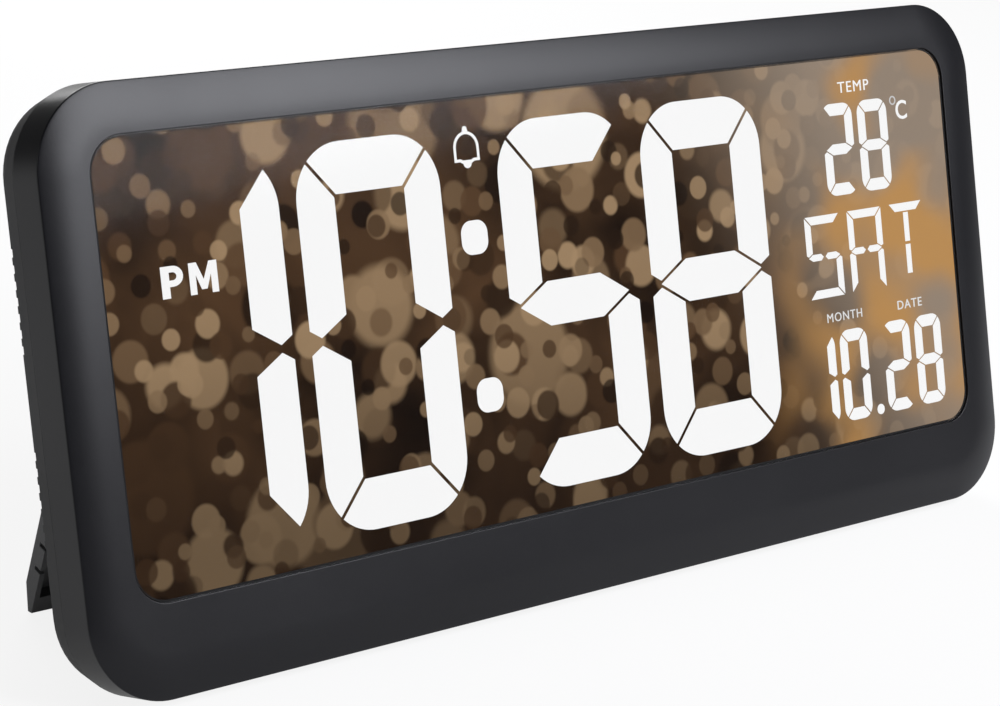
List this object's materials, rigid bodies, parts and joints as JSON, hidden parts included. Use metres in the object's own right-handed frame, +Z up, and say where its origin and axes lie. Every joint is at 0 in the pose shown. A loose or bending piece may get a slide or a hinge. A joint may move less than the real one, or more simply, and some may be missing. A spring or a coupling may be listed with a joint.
{
  "type": "digital wall clock",
  "caption": "Digital clock for wall or desk: rounded charcoal case with pillowed bezel, wide lit segment display, fold-out rear legs, rear keys, battery door and hanging keyholes.",
  "frame": {"origin": "middle of the strip under the rear cover that rests on the table, on the table plane", "axes": "+Z up, the face looks towards -Y and leans back by 14.5 degrees, +X to the viewer's right"},
  "size_m": [0.37, 0.0821, 0.1647],
  "materials": {
    "case_front": "fine matt grain",
    "case_rear": "fine matt grain",
    "leg": "fine matt grain",
    "lens": "clear, polished",
    "tape": "matt black",
    "lit": "white, lit",
    "film": "printed",
    "cell_glass": "clear",
    "white_sheet": "matt white",
    "clear_guide": "clear",
    "tray": "white",
    "strip": "white solder mask",
    "led": "phosphor yellow",
    "lead": "flat conductor",
    "board": "green solder mask",
    "black_part": "moulded black",
    "steel": "plated",
    "capacitor": "sleeve",
    "ivory_part": "ivory",
    "ribbon": "amber film",
    "switch": "moulded",
    "key": "fine matt grain"
  },
  "bodies": {
    "case": {"front_frame": "case_front", "rear_cover": "case_rear", "window_lens": "lens", "lens_tape": "tape", "time_segments": "lit", "colon_dots": "lit", "temperature_segments": "lit", "weekday_segments": "lit", "date_segments": "lit", "bell_mark": "lit", "background_film": "film", "lcd_front_glass": "cell_glass", "lcd_rear_glass": "cell_glass", "diffuser_sheet": "white_sheet", "light_guide": "clear_guide", "reflector_sheet": "white_sheet", "backlight_tray": "tray", "led_strips": "strip", "led_chips": "led", "led_leads": "lead", "main_board": "board", "controller_chip": "black_part", "crystal_can": "steel", "filter_capacitor": "capacitor", "buzzer": "black_part", "temperature_sensor": "black_part", "lcd_connector": "ivory_part", "ribbon_cable": "ribbon", "coin_holder": "black_part", "coin_cell": "steel", "socket_shell": "steel", "socket_tongue": "black_part", "key_board": "board", "tact_switches": "switch", "key_cable": "ivory_part", "case_screws": "steel", "tray_screws": "steel", "board_screws": "steel", "key_board_screws": "steel"},
    "leg_left": {"leg_left": "leg"},
    "leg_right": {"leg_right": "leg"},
    "key_mode": {"key_mode": "key"},
    "key_set": {"key_set": "key"},
    "key_up": {"key_up": "key"},
    "key_down": {"key_down": "key"},
    "key_alarm": {"key_alarm": "key"},
    "key_light": {"key_light": "key"},
    "battery_door": {"battery_door": "case_rear", "door_screw": "steel"}
  },
  "joints": [
    {"name": "leg_left_hinge", "type": "hinge", "parent": "case", "child": "leg_left", "pos_m": [-0.1335, 0.03168, 0.11669], "axis": [1, 0, 0], "range_deg": [-30.7, 0]},
    {"name": "leg_right_hinge", "type": "hinge", "parent": "case", "child": "leg_right", "pos_m": [0.1335, 0.03168, 0.11669], "axis": [1, 0, 0], "range_deg": [-30.7, 0]},
    {"name": "key_mode_press", "type": "slide", "parent": "case", "child": "key_mode", "axis": [0, -0.9681, 0.2504], "range_m": [0, 0.0006], "stiffness_N_per_m": 400, "springref_m": -0.0006},
    {"name": "key_set_press", "type": "slide", "parent": "case", "child": "key_set", "axis": [0, -0.9681, 0.2504], "range_m": [0, 0.0006], "stiffness_N_per_m": 400, "springref_m": -0.0006},
    {"name": "key_up_press", "type": "slide", "parent": "case", "child": "key_up", "axis": [0, -0.9681, 0.2504], "range_m": [0, 0.0006], "stiffness_N_per_m": 400, "springref_m": -0.0006},
    {"name": "key_down_press", "type": "slide", "parent": "case", "child": "key_down", "axis": [0, -0.9681, 0.2504], "range_m": [0, 0.0006], "stiffness_N_per_m": 400, "springref_m": -0.0006},
    {"name": "key_alarm_press", "type": "slide", "parent": "case", "child": "key_alarm", "axis": [0, -0.9681, 0.2504], "range_m": [0, 0.0006], "stiffness_N_per_m": 400, "springref_m": -0.0006},
    {"name": "key_light_press", "type": "slide", "parent": "case", "child": "key_light", "axis": [0, -0.9681, 0.2504], "range_m": [0, 0.0006], "stiffness_N_per_m": 400, "springref_m": -0.0006},
    {"name": "battery_door_lift", "type": "slide", "parent": "case", "child": "battery_door", "axis": [0, 0.9681, -0.2504], "range_m": [0, 0.03]}
  ]
}
